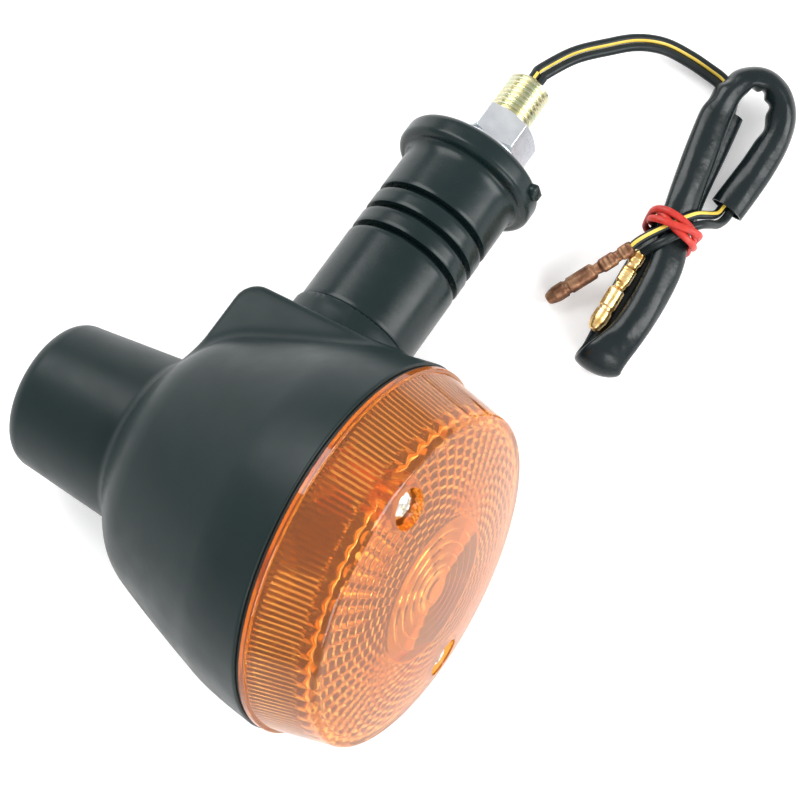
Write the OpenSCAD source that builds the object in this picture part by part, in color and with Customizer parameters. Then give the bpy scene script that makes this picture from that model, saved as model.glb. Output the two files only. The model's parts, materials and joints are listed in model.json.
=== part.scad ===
// Turn signal indicator for a motorcycle: a round lamp on a grooved rubber stem with a hollow
// threaded stud, and its two wires folded up in a soft sleeve.
// It lies on a surface as it would on a bench, touching it at the lamp's flare, at the end of the
// rear tube and at the stem's flange. +Y runs along the stem, +Z is up, and the origin is under
// the middle of the lamp and stem.
//
// Each rigid piece is drawn in the lamp's own axes and then laid down by lay():
// x runs along the lamp towards the lens, y along the stem towards the stud, and both cross at 0.

/* [Lamp] */
// Radius of the housing's rim
rim_r = 41.5; // [40:0.5:43]
// Distance of the rim's face from the stem's axis
rim_x = 29.2; // [28:0.1:31]
// Radius of the lens's front edge
face_r = 37.5; // [36:0.5:39]
// Distance of the lens's front edge from the stem's axis
face_x = 46.2; // [44:0.1:48]
// Rise of the lens's domed face
dome = 3.9; // [2:0.1:5]
// Thickness of the housing's wall
wall = 2.4; // [2:0.1:3]
// Radius of the rear tube at its closed end
tube_r = 16.7; // [16:0.1:18]
// Distance of the closed end from the stem's axis
tube_end = 50; // [46:1:54]

/* [Side block] */
// Height of the block's top face above the lamp's axis
block_top = 37; // [36:0.5:39]
// Half of the block's width
block_half = 16.3; // [15:0.1:17]
// Distance of the block's back face behind the stem's axis
block_back = 19.5; // [18:0.5:20]
// Radius of the collar on the block
collar_r = 14.2; // [13.8:0.1:15]
// Height of the collar's top, where the rubber stem starts
seam_y = 42.5; // [41:0.5:44]

/* [Stem] */
// Radius of the rubber stem
stem_r = 13.6; // [13:0.1:14]
// Radius of the flange at the mounting end
flange_r = 16.7; // [16:0.1:18]
// Height of the flange's mounting face
flange_y = 92.5; // [91:0.5:94]
// Thickness of the flange
flange_t = 6; // [5:0.5:7]
// Number of grooves
groove_count = 3; // [1:1:4]
// Height of the first groove's middle
groove_y = 62.7; // [58:0.1:64]
// Distance between grooves
groove_pitch = 5.5; // [5:0.1:6]
// Width of a groove
groove_w = 1.6; // [1.2:0.1:2]
// Depth of a groove
groove_d = 2.4; // [1:0.1:3]

/* [Stud and nut] */
// Radius of the threaded stud
stud_r = 5; // [5:0.5:5]
// Height of the stud's free end
stud_end = 115.8; // [113:0.1:118]
// Radius of the stud's bore, which the wires run through
stud_bore_r = 3.1; // [2.6:0.1:3.2]
// Radius of the nut over its corners
nut_r = 9.25; // [9:0.05:9.8]
// Height of the nut
nut_t = 8; // [6:0.5:8]
// Angle of the nut's corners
nut_turn = 22.6; // [0:0.1:60]

/* [Lens screws] */
// Distance of the screws from the lamp's axis
screw_at = 30.5; // [29:0.5:31]
// Angle of the pair of screws from upright
screw_clock = 3; // [0:1:5]
// Radius of a screw's shank
screw_r = 2; // [2:0.5:2]
// Radius of the wells that the screw heads sit in
well_r = 4.4; // [4:0.1:4.8]

/* [Wires] */
// Radius of one wire
wire_r = 1; // [0.9:0.05:1.05]
// Thickness of the sleeve's wall
sleeve_wall = 0.5; // [0.4:0.05:0.6]

/* [Hidden] */
$fn = 96;
gap = 0.02;

// ---- How it lies ----
// A round edge is a ring of radius c at distance d along its axis, rounded by a radius b.
rim_b = 0.5;
rim_c = rim_r - rim_b;
rim_d = rim_x - rim_b;
tube_b = 4;
tube_c = tube_r - tube_b;
tube_d = -tube_end + tube_b;
flange_b = 2;
flange_c = flange_r - flange_b;
flange_d = flange_y - flange_b;
// The fullest point of the bowl's flare, as [distance along the axis, radius]
fullest = [14, 38.5];
// Tilt of the lamp's axis that puts its flare and its rear tube on the surface together
lamp_tilt = atan((fullest.y - tube_c) / (fullest.x - tube_d))
    - asin(tube_b / norm([fullest.x - tube_d, fullest.y - tube_c]));
height = fullest.y * cos(lamp_tilt) - sin(lamp_tilt) * fullest.x;
// Tilt of the stem's axis that then puts its flange on the surface
stem_tilt = atan(flange_c / flange_d) + asin((flange_b - height) / norm([flange_d, flange_c]));
turn_y = -asin(sin(lamp_tilt) / cos(stem_tilt));
lamp_axis = [cos(turn_y), -sin(stem_tilt) * -sin(turn_y), cos(stem_tilt) * -sin(turn_y)];
stem_axis = [0, cos(stem_tilt), sin(stem_tilt)];
across_axis = cross(lamp_axis, stem_axis);

// How far a ring on an axis reaches along direction e, to the side given by sign
function reach(axis, d, c, b, e, sign) =
    d * (axis * e) + sign * (c * sqrt(1 - pow(axis * e, 2)) + b);
east = [1, 0, 0];
north = [0, 1, 0];
lens_b = 1.5;
lens_lip_r = rim_r - 0.3;
low_x = reach(lamp_axis, tube_d, tube_c, tube_b, east, -1);
high_x = reach(lamp_axis, face_x - lens_b, face_r - lens_b, lens_b, east, 1);
low_y = reach(lamp_axis, rim_d, rim_c, rim_b, north, -1);
stud_chamfer = 0.8;
high_y = reach(stem_axis, stud_end, stud_r - stud_chamfer, 0, north, 1);
shift = [-(low_x + high_x) / 2, -(low_y + high_y) / 2, height];

module lay() {
    translate(shift) rotate([stem_tilt, 0, 0]) rotate([0, turn_y, 0]) children();
}
function laid(p) = shift + p.x * lamp_axis + p.y * stem_axis + p.z * across_axis;

// ---- Shapes used by several pieces ----
function bezier(a, b, c, d, n) =
    [for (i = [0 : n]) let (t = i / n, s = 1 - t)
        s * s * s * a + 3 * s * s * t * b + 3 * s * t * t * c + t * t * t * d];
function arc(centre, r, from, to, n) =
    [for (i = [0 : n]) let (a = from + (to - from) * i / n) centre + r * [cos(a), sin(a)]];
function swapped(points) = [for (p = points) [p.y, p.x]];
function reversed(points) = [for (i = [len(points) - 1 : -1 : 0]) points[i]];

// A solid turned about the lamp's axis, from an outline of [x, radius] points
module turned_x(outline) {
    rotate([0, 90, 0]) rotate_extrude() polygon(swapped(outline));
}
// A solid turned about the stem's axis, from an outline of [radius, y] points
module turned_y(outline) {
    rotate([-90, 0, 0]) rotate_extrude() polygon(outline);
}
module rod_x(from, to, r) {
    translate([from, 0, 0]) rotate([0, 90, 0]) cylinder(r = r, h = to - from);
}
module rod_y(from, to, r) {
    translate([0, from, 0]) rotate([-90, 0, 0]) cylinder(r = r, h = to - from);
}
module ring_x(from, to, outer, inner) {
    difference() {
        rod_x(from, to, outer);
        rod_x(from - 1, to + 1, inner);
    }
}
module ring_y(from, to, outer, inner) {
    difference() {
        rod_y(from, to, outer);
        rod_y(from - 1, to + 1, inner);
    }
}
// The place of one lens screw; side is 1 for the top one and -1 for the bottom one
module at_screw(side) {
    rotate([-screw_clock, 0, 0]) translate([0, 0, side * screw_at]) children();
}

// ---- Housing ----
tube_root = [-22.5, 18.9];
shoulder = concat(
    bezier(tube_root, [-21.3, 19.3], [-20.6, 19.9], [-19.9, 20.8], 3),
    bezier([-19.9, 20.8], [-16.4, 25.2], [-15.2, 27.4], [-10, 29.6], 7));
flare = concat(
    bezier([-10, 29.6], [-2, 32.9], [6, 35.7], fullest, 6),
    bezier(fullest, [17.5, 39.7], [22, 40.5], [rim_d, rim_r], 5));
tube_bore_r = tube_r - wall;
bulkhead_back = -24;
bulkhead_front = -20;
socket_r = 9.2;
rim_bore_r = 38.6;
lead_hole_r = 1.5;
lead_y = 11.7;
lead_z = 2;

function inside(points) = [for (p = points) p + [0.9, -(wall - 0.1)]];
module housing_outside() {
    turned_x(concat([[-tube_end, 0]],
        arc([tube_d, tube_c], tube_b, 180, 90, 6), shoulder, flare,
        arc([rim_d, rim_c], rim_b, 90, 0, 3), [[rim_x, 0]]));
}
module housing_inside() {
    turned_x(concat(
        [[-tube_end + wall, 0], [-tube_end + wall, tube_bore_r], [bulkhead_back, tube_bore_r],
            [bulkhead_back, socket_r + 0.1], [bulkhead_front, socket_r + 0.1],
            [bulkhead_front, 17.4]],
        inside([for (p = shoulder) if (p.x > -20) p]), inside([for (p = flare) if (p.x < 26) p]),
        [[rim_x + 1, rim_bore_r], [rim_x + 1, 0]]));
}
// The block's outline seen along z; its back upper corner is rounded
module block_outline(inset) {
    corner_r = 5;
    back = -block_back + inset;
    top = block_top - inset;
    r = corner_r - inset;
    polygon(concat([[back, inset > 0 ? 12 : 0]],
        arc([back + r, top - r], r, 180, 90, 6),
        [[14 - inset, top], [14 - inset, inset > 0 ? 12 : 0]]));
}
module block(inset) {
    half = block_half - inset;
    translate([0, 0, -half]) linear_extrude(2 * half) block_outline(inset);
}
boss_r = 4.3;
boss_back = 6;
insert_r = 3;
insert_t = 9;
ferrule_r = 6;
module housing() {
    color([0.13, 0.15, 0.16]) lay() difference() {
        union() {
            difference() {
                union() {
                    housing_outside();
                    block(0);
                    rod_y(block_top - 4, seam_y, collar_r);
                }
                housing_inside();
                block(wall + 0.1);
            }
            for (side = [-1, 1])
                at_screw(side) rod_x(boss_back, rim_x - 0.4, boss_r);
        }
        rod_y(20, seam_y + 1, ferrule_r + 0.05);
        for (side = [-1, 1]) {
            at_screw(side) rod_x(rim_x - 0.4 - insert_t, rim_x + 1, insert_r + gap);
            translate([0, lead_y, side * lead_z])
                rod_x(bulkhead_back - 1, bulkhead_front + 1, lead_hole_r);
        }
    }
}
module screw_insert(side) {
    color([0.8, 0.62, 0.28]) lay() at_screw(side)
        ring_x(rim_x - 0.4 - insert_t, rim_x - 0.4, insert_r, screw_r + 0.06);
}

// ---- Lens ----
lens_back = rim_x + 0.8;
lens_wall = 2.2;
well_floor = 44.2;
dome_r = (pow(face_r - lens_b, 2) + dome * dome) / (2 * dome);
function dome_curve(inset, r_max) = [for (i = [0 : 6]) let (r = r_max * (1 - i / 6))
    [face_x + dome - inset - (dome_r - sqrt(dome_r * dome_r - r * r)), r]];
module lens_outside() {
    turned_x(concat(
        [[lens_back, 0], [lens_back, lens_lip_r], [lens_back + 1.4, lens_lip_r],
            [lens_back + 1.8, lens_lip_r - 0.8]],
        arc([face_x - lens_b, face_r - lens_b], lens_b, 82, 20, 4),
        dome_curve(0, face_r - lens_b)));
}
module lens_inside() {
    turned_x(concat(
        [[lens_back - 1, 0], [lens_back - 1, rim_bore_r - 0.4], [lens_back, rim_bore_r - 0.4],
            [face_x - lens_wall, face_r - lens_wall]],
        dome_curve(lens_wall, face_r - lens_wall - 1.5)));
}
module lens() {
    color([0.96, 0.45, 0.08, 0.6]) lay() difference() {
        union() {
            difference() {
                lens_outside();
                lens_inside();
            }
            for (side = [-1, 1])
                at_screw(side) {
                    rod_x(lens_back, well_floor - 1, boss_r - 0.3);
                    rod_x(well_floor - 2, face_x, well_r + 1.2);
                }
        }
        for (side = [-1, 1])
            at_screw(side) {
                rod_x(well_floor, face_x + 10, well_r);
                rod_x(lens_back - 1, well_floor + 1, screw_r + 0.2);
            }
    }
}
module lens_gasket() {
    color([0.05, 0.05, 0.05]) lay() ring_x(rim_x, lens_back, rim_r - 0.8, rim_bore_r);
}
module lens_screw(side) {
    head_t = 2.3;
    slot_w = 0.9;
    color([0.8, 0.8, 0.78]) lay() at_screw(side) difference() {
        union() {
            rod_x(rim_x - insert_t, well_floor + 0.5, screw_r);
            turned_x([[well_floor, 0], [well_floor, 3.5], [well_floor + head_t - 0.8, 3.5],
                [well_floor + head_t - 0.2, 2.7], [well_floor + head_t, 0]]);
        }
        for (turn = [0, 90])
            rotate([turn, 0, 0])
                translate([well_floor + 0.8, -1.9, -slot_w / 2]) cube([head_t, 3.8, slot_w]);
    }
}

// ---- Reflector, socket and bulb ----
dish_back = -13;
dish_focus = 14;
dish_r = 26;
dish_hole_r = 10.1;
function dish(inset) = [for (i = [0 : 8])
    let (r = dish_hole_r + (dish_r - dish_hole_r) * i / 8)
        [dish_back + inset + r * r / (4 * dish_focus), r]];
module reflector() {
    color([0.85, 0.84, 0.8]) lay() {
        turned_x(concat(dish(0), reversed(dish(0.9))));
        ring_x(-18, dish_back + pow(dish_hole_r, 2) / (4 * dish_focus) + 0.5,
            dish_hole_r + 0.5, socket_r + 0.1);
    }
}
base_r = 7.6;
socket_bore_r = base_r + 0.1;
socket_back = -40;
socket_front = -11.5;
board_t = 1.2;
pin_x = -21.5;
pin_r = 0.95;
push = 1.5;
module bayonet_slot() {
    deep = pin_x - pin_r - push - 0.15;
    wide = pin_r + 0.25;
    turned_by = 4.8;
    translate([deep, -wide, 0]) cube([pin_x + pin_r + 0.2 - deep, 2 * wide, 12]);
    translate([deep, -wide, 0]) cube([2 * wide, turned_by + 2 * wide, 12]);
    translate([deep, turned_by - wide, 0]) cube([socket_front + 1 - deep, 2 * wide, 12]);
}
module bulb_socket() {
    color([0.72, 0.72, 0.7]) lay() difference() {
        union() {
            rod_x(socket_back, socket_front, socket_r);
            rod_x(bulkhead_front + gap, bulkhead_front + 1, socket_r + 1);
        }
        rod_x(socket_back - 1, socket_front + 1, socket_bore_r);
        bayonet_slot();
        rotate([180, 0, 0]) bayonet_slot();
    }
}
module terminal_board() {
    color([0.45, 0.3, 0.2]) lay()
        ring_x(socket_back, socket_back + board_t, socket_bore_r - gap, 1.5 + gap);
}
module live_terminal() {
    color([0.8, 0.62, 0.28]) lay() {
        rod_x(socket_back - 1, socket_back + board_t, 1.5);
        rod_x(socket_back - 1.8, socket_back - gap, 2.6);
    }
}
plate_back = -31.5;
tip_back = -30;
base_back = -28.5;
base_front = -13;
spring_r = 5.4;
spring_wire_r = 0.45;
spring_turns = 5;
module contact_plate() {
    color([0.45, 0.3, 0.2]) lay() rod_x(plate_back, tip_back, 7.2);
}
module contact_spring() {
    from = socket_back + board_t + spring_wire_r + 0.1;
    to = plate_back - spring_wire_r - 0.1;
    count = spring_turns * 12;
    path = [for (i = [0 : count])
        laid([from + (to - from) * i / count, spring_r * cos(i * 30), spring_r * sin(i * 30)])];
    color([0.75, 0.75, 0.75]) tube(path, lamp_axis, spring_wire_r, 6);
}
module bulb_base() {
    color([0.8, 0.66, 0.4]) lay() {
        difference() {
            rod_x(base_back, base_front, base_r);
            rod_x(base_front - 6, base_front + 1, 6.6);
        }
        for (side = [0, 180])
            rotate([side, 0, 0]) translate([pin_x, 0, base_r - 1]) cylinder(r = pin_r, h = 2.1);
    }
}
module bulb_tip() {
    color([0.6, 0.6, 0.6]) lay() rod_x(tip_back, base_back, 2.5);
}
glass_r = 13;
glass_x = 7.5;
glass_wall = 0.7;
module bulb_glass() {
    neck = base_front - 5;
    color([0.95, 0.97, 1, 0.3]) lay() turned_x(concat(
        [[neck, 5.6], [neck, 6.5], [base_front, 6.5]],
        bezier([base_front, 6.5], [-8, 7], [-5, 11.5], [-0.5, 12.4], 4),
        arc([glass_x, 0], glass_r, 100, 0, 8),
        reversed(concat(
            bezier([base_front, 5.7], [-7.6, 6.2], [-4.8, 10.6], [-0.2, 11.6], 4),
            arc([glass_x, 0], glass_r - glass_wall, 100, 0, 8)))));
}
post_z = 2.4;
filament_x = 5;
module glass_stem() {
    color([0.9, 0.93, 0.96, 0.4]) lay() rod_x(base_front - 5.6, -6, 3.6);
}
module filament_posts() {
    color([0.6, 0.6, 0.62]) lay() for (side = [-1, 1])
        translate([0, 0, side * post_z]) rod_x(-6, filament_x, 0.35);
}
module filament() {
    count = 40;
    color([0.5, 0.5, 0.52]) tube([for (i = [0 : count])
        laid([filament_x + 0.95 + 0.5 * cos(i * 54), 0.5 * sin(i * 54),
            post_z * 2 * (i / count - 0.5)])], lamp_axis, 0.13, 5);
}

// ---- Stem ----
ferrule_back = 29;
ferrule_top = 56;
ferrule_bore_r = 3.2;
disc_y = 48;
disc_t = 2.5;
disc_r = 10.5;
plate_y = 85;
plate_t = 3;
plate_r = 11;
stud_back = 81;
stem_bore_r = 3.4;
module stem_ferrule() {
    color([0.72, 0.72, 0.7]) lay() difference() {
        union() {
            rod_y(ferrule_back, ferrule_top, ferrule_r);
            rod_y(disc_y, disc_y + disc_t, disc_r);
        }
        rod_y(0, 70, ferrule_bore_r);
    }
}
lock_washer_t = 1;
under_block = block_top - wall - 0.1;
module stem_lock_washer() {
    color([0.72, 0.72, 0.7]) lay()
        ring_y(under_block - lock_washer_t, under_block, 9.5, ferrule_r + 0.2);
}
module hex(from, to, r) {
    intersection() {
        translate([0, from, 0]) rotate([-90, 0, 0]) rotate([0, 0, nut_turn])
            cylinder(r = r, h = to - from, $fn = 6);
        turned_y([[0, from], [r * 0.9, from], [r + 0.01, from + r * 0.06],
            [r + 0.01, to - r * 0.06], [r * 0.9, to], [0, to]]);
    }
}
module stem_nut() {
    to = under_block - lock_washer_t;
    color([0.72, 0.72, 0.7]) lay() difference() {
        hex(to - 4, to, 9.6);
        rod_y(0, 70, ferrule_r + gap);
    }
}
groove_ys = [for (i = [0 : groove_count - 1]) groove_y + i * groove_pitch];
pip_turn = 8;
module stem_rubber() {
    flange_back = flange_y - flange_t;
    outside = concat([[stem_r - 0.4, seam_y], [stem_r, seam_y + 0.4]],
        [for (y = groove_ys) each [[stem_r, y - groove_w / 2], [stem_r - groove_d, y - groove_w / 2],
            [stem_r - groove_d, y + groove_w / 2], [stem_r, y + groove_w / 2]]],
        bezier([stem_r, flange_back - 2], [stem_r + 0.1, flange_back - 0.6],
            [stem_r + 0.4, flange_back], [stem_r + 1, flange_back], 3),
        arc([flange_r - 1.6, flange_back + 1.6], 1.6, -90, 0, 4),
        arc([flange_c, flange_d], flange_b, 0, 90, 5));
    pocket = [[stud_r + gap, flange_y], [stud_r + gap, plate_y + plate_t],
        [plate_r + gap, plate_y + plate_t], [plate_r + gap, plate_y], [ferrule_r + gap, plate_y],
        [ferrule_r + gap, stud_back], [stem_bore_r, stud_back], [stem_bore_r, ferrule_top],
        [ferrule_r + gap, ferrule_top], [ferrule_r + gap, disc_y + disc_t],
        [disc_r + gap, disc_y + disc_t], [disc_r + gap, disc_y], [ferrule_r + gap, disc_y],
        [ferrule_r + gap, seam_y]];
    color([0.12, 0.14, 0.15]) lay() {
        turned_y(concat(outside, pocket));
        rotate([0, -pip_turn, 0]) translate([flange_r - 2.2, flange_y - 3.2, -2])
            cube([3.4, 2.6, 4]);
    }
}
module mount_stud() {
    color([0.72, 0.68, 0.36]) lay() difference() {
        union() {
            rod_y(stud_back, plate_y + 1, ferrule_r);
            rod_y(plate_y, plate_y + plate_t, plate_r);
            rod_y(plate_y, stud_end - stud_chamfer, stud_r);
            turned_y([[0, stud_end - stud_chamfer], [stud_r, stud_end - stud_chamfer],
                [stud_r - stud_chamfer, stud_end], [0, stud_end]]);
        }
        rod_y(stud_back - 1, stud_end + 1, stud_bore_r);
    }
}
washer_t = 1.5;
spring_washer_t = 2;
nut_y = flange_y + washer_t + spring_washer_t;
module plain_washer() {
    color([0.82, 0.83, 0.84]) lay() ring_y(flange_y, flange_y + washer_t, 10, stud_r + 0.25);
}
module spring_washer() {
    color([0.75, 0.76, 0.77]) lay() difference() {
        ring_y(flange_y + washer_t, nut_y, 8.8, stud_r + 0.2);
        translate([4, flange_y, -10]) rotate([20, 0, 0]) translate([0, -6, 0]) cube([6, 20, 1.2]);
    }
}
module stud_nut() {
    color([0.83, 0.84, 0.86]) lay() difference() {
        hex(nut_y, nut_y + nut_t, nut_r);
        rod_y(0, 130, stud_r + 0.05);
    }
}

// ---- Leads inside the lamp and the stem ----
pair = wire_r + gap;
// One lead inside the stem: the pair keeps the direction that it has at the stud's end
function pair_at(side, y) =
    [side * pair * (pair_sides[0] * lamp_axis), y, side * pair * (pair_sides[0] * across_axis)];
module inner_lead(side, start) {
    route = concat(start, [
        [bulkhead_back - 4, lead_y, side * lead_z], [-18, lead_y, side * lead_z],
        [-14.5, 14, side * lead_z], [-12, 21, side * lead_z], [-7, 25.5, side * 1.8],
        [-1.6, 28.4, side * 1.05], pair_at(side, 32), pair_at(side, ferrule_top)]);
    color([0.06, 0.06, 0.06]) tube([for (p = smooth(route, 2)) laid(p)], across_axis, wire_r, 8);
}
module live_lead() {
    inner_lead(1, [[socket_back - 2.9, 0, 0.5], [socket_back - 4.2, 3.5, 1], [-43.5, 8.5, 1.6],
        [-39, lead_y, lead_z]]);
}
module earth_lead() {
    inner_lead(-1, [[-37, socket_r + 1.6, -lead_z]]);
}
module stem_leads() {
    color([0.06, 0.06, 0.06]) lay() for (side = [-1, 1])
        translate(pair_at(side, 0)) rod_y(ferrule_top, stud_end, wire_r);
}

// ---- Free wires: routes through the air and over the surface ----
// Middle line of the pair of wires from the stud's end to the sleeve
arc_route = [[-1.9, 81.3, 11.5], [1.5, 88.9, 9.8], [6.3, 95.4, 7.8], [11, 100.8, 6], [16.4, 104.2, 4.4],
    [22.5, 105.4, 3.3], [28, 105.5, 2.9], [31.6, 105.2, 2.9], [34.3, 103.9, 2.9],
    [35.8, 102, 2.9]];
// Middle line of the sleeve, with its half thickness and half width at each point.
// It starts at its first cut end, folds back over itself, and turns over in a loop.
sleeve_route = [
    [36.6, 99.5, 2.9, 2.8, 4], [37.5, 94, 2.9, 2.8, 4], [38.7, 87, 2.9, 2.8, 4],
    [40, 79, 3.1, 2.7, 4], [40.9, 73.5, 3.6, 2.5, 4.1], [41.2, 68, 4, 2.3, 4.2],
    [40.9, 62, 3.6, 2.5, 4.1], [40.9, 55, 3, 2.8, 4], [41.6, 48, 2.9, 2.8, 4],
    [42.8, 42, 2.8, 2.6, 4.2], [43.9, 37.5, 2.6, 2.1, 4.8], [44.3, 34.6, 3.4, 1.9, 5.3],
    [44.6, 33.6, 5.6, 1.9, 5.4], [44.9, 34.6, 7.9, 1.9, 5.3], [45.5, 37.8, 8.9, 2.1, 4.6],
    [46.1, 42, 8.9, 2.6, 4.1], [46.2, 48, 8.9, 2.8, 4], [45.6, 55, 8.9, 2.8, 4],
    [44.5, 61.5, 9, 2.5, 4], [42, 68, 8.8, 2.3, 4.1], [40.4, 73.5, 8.9, 2.5, 4.1],
    [38.9, 79, 8.9, 2.8, 4], [36.9, 88, 8.9, 2.8, 4], [34.9, 97, 8.9, 2.9, 3.7],
    [34.6, 102.5, 8.9, 3.5, 3.1], [36.3, 106.8, 8.6, 3.9, 2.8], [39.8, 109, 8.1, 4, 2.9],
    [44, 108.2, 7.3, 3.8, 3.2], [47.3, 104.8, 6.3, 3.6, 3.5], [48.9, 99.5, 5.3, 3.4, 3.7],
    [49.3, 93, 4.3, 3.1, 3.9], [49.1, 86.5, 3.5, 2.9, 4], [48.8, 80.7, 3, 2.9, 4]];
// The striped wire from the sleeve's second cut end to its bullet, and the black one to its own
striped_tail = [[47.5, 78.3, 3.7], [46.6, 76.4, 6.4], [45.3, 74.6, 9.4], [43.9, 72.9, 11.4],
    [42.4, 70.6, 12.3], [40.5, 67.4, 12.3], [38.2, 63.6, 11.7], [36.8, 60.9, 10.8]];
striped_bullet_at = [36.2, 59, 10];
black_tail = [[49.7, 78.2, 3.5], [49, 75.8, 5.6], [47.7, 74, 8.4], [46.2, 72.1, 10.7],
    [44.5, 69.6, 11.8], [42.9, 66.4, 12.2], [41.4, 63.7, 12.3], [40.2, 61.9, 11.3], [39.2, 60.6, 9.7]];
black_bullet_at = [38.5, 59.4, 8.3];
striped_bullet_to = [27.1, 40.5, 2.3];
black_bullet_to = [39.4, 39.2, 7.8];

function xyz(p) = [p.x, p.y, p.z];
// A smooth curve through points, with per steps from each to the next
function curve_point(p, i, t) =
    let (a = p[max(i - 1, 0)], b = p[i], c = p[i + 1], d = p[min(i + 2, len(p) - 1)])
        0.5 * (2 * b + (c - a) * t + (2 * a - 5 * b + 4 * c - d) * t * t
            + (3 * b - a - 3 * c + d) * t * t * t);
function smooth(p, per) =
    [for (i = [0 : len(p) - 2]) for (k = [0 : per - 1]) curve_point(p, i, k / per),
        p[len(p) - 1]];
function unit(v) = v / norm(v);
function headings(p) =
    [for (i = [0 : len(p) - 1]) unit(p[min(i + 1, len(p) - 1)] - p[max(i - 1, 0)])];
function square_to(v, t) = unit(v - (v * t) * t);
// A sideways direction at each point, carried along the path without twist
function sides(t, start) =
    [for (i = 0, w = square_to(start, t[0]); i < len(t);
        w = i + 1 < len(t) ? square_to(w, t[i + 1]) : w, i = i + 1) w];
function ring_points(path, t, w, thick, wide, n) =
    [for (i = [0 : len(path) - 1]) for (k = [0 : n - 1]) let (a = (k + 0.5) * 360 / n)
        path[i] + wide[i] * cos(a) * w[i] + thick[i] * sin(a) * cross(t[i], w[i])];
// Faces of a tube's side; first is the first ring's first point, and flip turns them inwards
function side_faces(count, n, first, flip) =
    [for (i = [0 : count - 2]) for (k = [0 : n - 1])
        let (a = first + i * n + k, b = first + i * n + (k + 1) % n, c = b + n, d = a + n)
            each flip ? [[a, b, c], [a, c, d]] : [[a, c, b], [a, d, c]]];
module tube(path, start, r, n) {
    t = headings(path);
    w = sides(t, start);
    count = len(path);
    same = [for (p = path) r];
    polyhedron(ring_points(path, t, w, same, same, n), concat(
        side_faces(count, n, 0, false),
        [[for (k = [0 : n - 1]) k]],
        [[for (k = [n - 1 : -1 : 0]) (count - 1) * n + k]]));
}
pair_start = laid([0, stud_end, 0]);
sleeve_points = smooth(sleeve_route, 2);
sleeve_line = [for (p = sleeve_points) xyz(p)];
arc_line = smooth(concat([pair_start, pair_start + 3 * stem_axis], arc_route), 1);
pair_line = concat(arc_line, sleeve_line);
// The pair lies flat in the sleeve's first leg, and its direction is carried both ways from there
pair_headings = headings(pair_line);
arc_count = len(arc_line);
sleeve_sides = sides([for (i = [arc_count : len(pair_line) - 1]) pair_headings[i]], east);
arc_sides = reversed(sides([for (i = [arc_count : -1 : 0]) pair_headings[i]], east));
pair_sides = concat([for (i = [0 : arc_count - 1]) arc_sides[i]], sleeve_sides);
function wire_line(side, tail, end) =
    concat([for (i = [0 : len(pair_line) - 1]) pair_line[i] + side * pair * pair_sides[i]],
        tail, [end]);
module wire_striped() {
    color([0.06, 0.06, 0.06])
        tube(wire_line(1, striped_tail, striped_bullet_at), lamp_axis, wire_r, 8);
}
module wire_black() {
    color([0.06, 0.06, 0.06])
        tube(wire_line(-1, black_tail, black_bullet_at), lamp_axis, wire_r, 8);
}
module wire_sleeve() {
    n = 10;
    t = headings(sleeve_line);
    w = sides(t, east);
    count = len(sleeve_line);
    outer = ring_points(sleeve_line, t, w,
        [for (p = sleeve_points) p[3]], [for (p = sleeve_points) p[4]], n);
    inner = ring_points(sleeve_line, t, w,
        [for (p = sleeve_points) p[3] - sleeve_wall],
        [for (p = sleeve_points) p[4] - sleeve_wall], n);
    far = (count - 1) * n;
    half = count * n;
    color([0.08, 0.09, 0.1]) polyhedron(concat(outer, inner), concat(
        side_faces(count, n, 0, false),
        side_faces(count, n, half, true),
        [for (k = [0 : n - 1]) let (m = (k + 1) % n) each
            [[k, m, half + m], [k, half + m, half + k],
                [far + k, half + far + m, far + m], [far + k, half + far + k, half + far + m]]]));
}
band_y = 66;
band_w = 4.4;
module rounded_oblong(half_x, half_z, r) {
    square([2 * half_x, 2 * (half_z - r)], center = true);
    square([2 * (half_x - r), 2 * half_z], center = true);
    for (sx = [-1, 1]) for (sz = [-1, 1])
        translate([sx * (half_x - r), sz * (half_z - r)]) circle(r = r, $fn = 32);
}
module rubber_band() {
    color([0.75, 0.12, 0.06]) translate([41.6, band_y, 7.65]) rotate([-90, 0, 0])
        linear_extrude(band_w) difference() {
            rounded_oblong(6.3, 7.6, 4.5);
            rounded_oblong(4.9, 6.2, 3.2);
        }
}
// A bullet terminal: crimp, neck, barrel with a groove, and a tapered nose
module bullet(from, to) {
    along = to - from;
    long = norm(along);
    translate(from) rotate([0, acos(along.z / long), atan2(along.y, along.x)])
        rotate_extrude($fn = 32) polygon([[0, 0], [1.45, 0], [1.45, 2.5], [1.15, 3], [1.15, 3.8],
            [1.5, 4.2], [1.5, 7.5], [1.2, 8.2], [1.2, 9.2], [1.9, 9.8], [1.9, long - 6],
            [1.6, long - 5.7], [1.6, long - 5.1], [1.9, long - 4.8], [1.9, long - 2.4],
            [1, long], [0, long]]);
}
module bullet_striped() {
    color([0.42, 0.28, 0.2]) bullet(striped_bullet_at, striped_bullet_to);
}
module bullet_black() {
    color([0.8, 0.6, 0.3]) bullet(black_bullet_at, black_bullet_to);
}

housing();
screw_insert(1);  // screw_insert_top
screw_insert(-1);  // screw_insert_bottom
reflector();
bulb_socket();
terminal_board();
live_terminal();
contact_spring();
contact_plate();
bulb_base();
bulb_tip();
bulb_glass();
glass_stem();
filament_posts();
filament();
lens();
lens_gasket();
lens_screw(1);  // lens_screw_top
lens_screw(-1);  // lens_screw_bottom
live_lead();
earth_lead();
stem_ferrule();
stem_lock_washer();
stem_nut();
stem_rubber();
stem_leads();
mount_stud();
plain_washer();
spring_washer();
stud_nut();
wire_striped();
wire_black();
wire_sleeve();
rubber_band();
bullet_striped();
bullet_black();
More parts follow.
